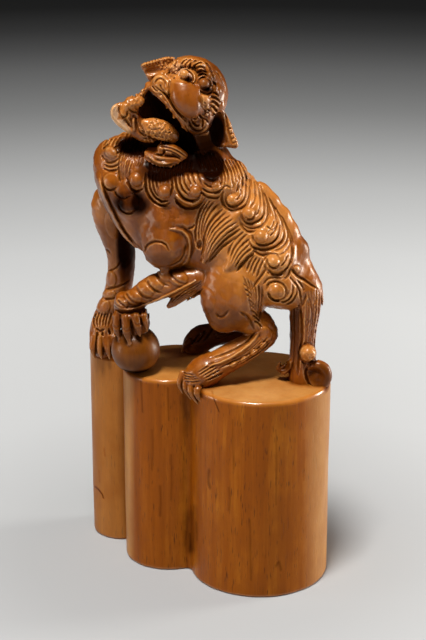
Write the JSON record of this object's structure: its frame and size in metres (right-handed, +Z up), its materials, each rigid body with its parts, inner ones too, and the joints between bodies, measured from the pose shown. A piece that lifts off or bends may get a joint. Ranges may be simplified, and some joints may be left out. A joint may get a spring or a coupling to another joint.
{
  "type": "seal stamp",
  "caption": "Wooden seal stamp: upright three-lobed block with a flat stamping face underneath and a carved guardian lion on top as the grip, head thrown back, forepaw on a ball.",
  "frame": {"origin": "on the stamping face, at the centre of the rectangle round its outline", "axes": "+Z up from the stamping face to the lion's head; +X along the row of lobes, from the small lobe under the head to the big lobe under the tail; +Y to the lion's right side"},
  "size_m": [0.0469, 0.0261, 0.0912],
  "materials": {
    "block_wood": "satin, oiled and handled",
    "lion_wood": "satin, carved and polished",
    "ball_wood": "polished"
  },
  "bodies": {
    "root": {"ball": "ball_wood", "beard": "lion_wood", "brow_tufts": "lion_wood", "cheek_curls": "lion_wood", "chest_curls": "lion_wood", "chest_scales": "lion_wood", "elbow_tuft": "lion_wood", "eyes": "lion_wood", "flank_curls": "lion_wood", "flank_locks": "lion_wood", "left_ear": "lion_wood", "left_forearm": "lion_wood", "left_foreclaws": "lion_wood", "left_forepaw": "lion_wood", "left_hind_claws": "lion_wood", "left_hind_foot": "lion_wood", "left_hind_paw": "lion_wood", "left_shin": "lion_wood", "left_thigh": "lion_wood", "left_upper_arm": "lion_wood", "lower_jaw": "lion_wood", "lower_teeth": "lion_wood", "mane_bunch": "lion_wood", "mane_collar": "lion_wood", "neck": "lion_wood", "nose_muzzle": "lion_wood", "right_ear": "lion_wood", "right_flank_curls": "lion_wood", "right_foreclaws": "lion_wood", "right_foreleg": "lion_wood", "right_forepaw": "lion_wood", "right_hind_claws": "lion_wood", "right_hind_foot": "lion_wood", "right_hind_paw": "lion_wood", "right_shin": "lion_wood", "right_thigh": "lion_wood", "seal_column": "block_wood", "skull": "lion_wood", "spine_ridge": "lion_wood", "tail": "lion_wood", "tail_curls": "lion_wood", "tongue": "lion_wood", "torso": "lion_wood", "upper_lip": "lion_wood", "upper_teeth": "lion_wood"}
  },
  "joints": []
}
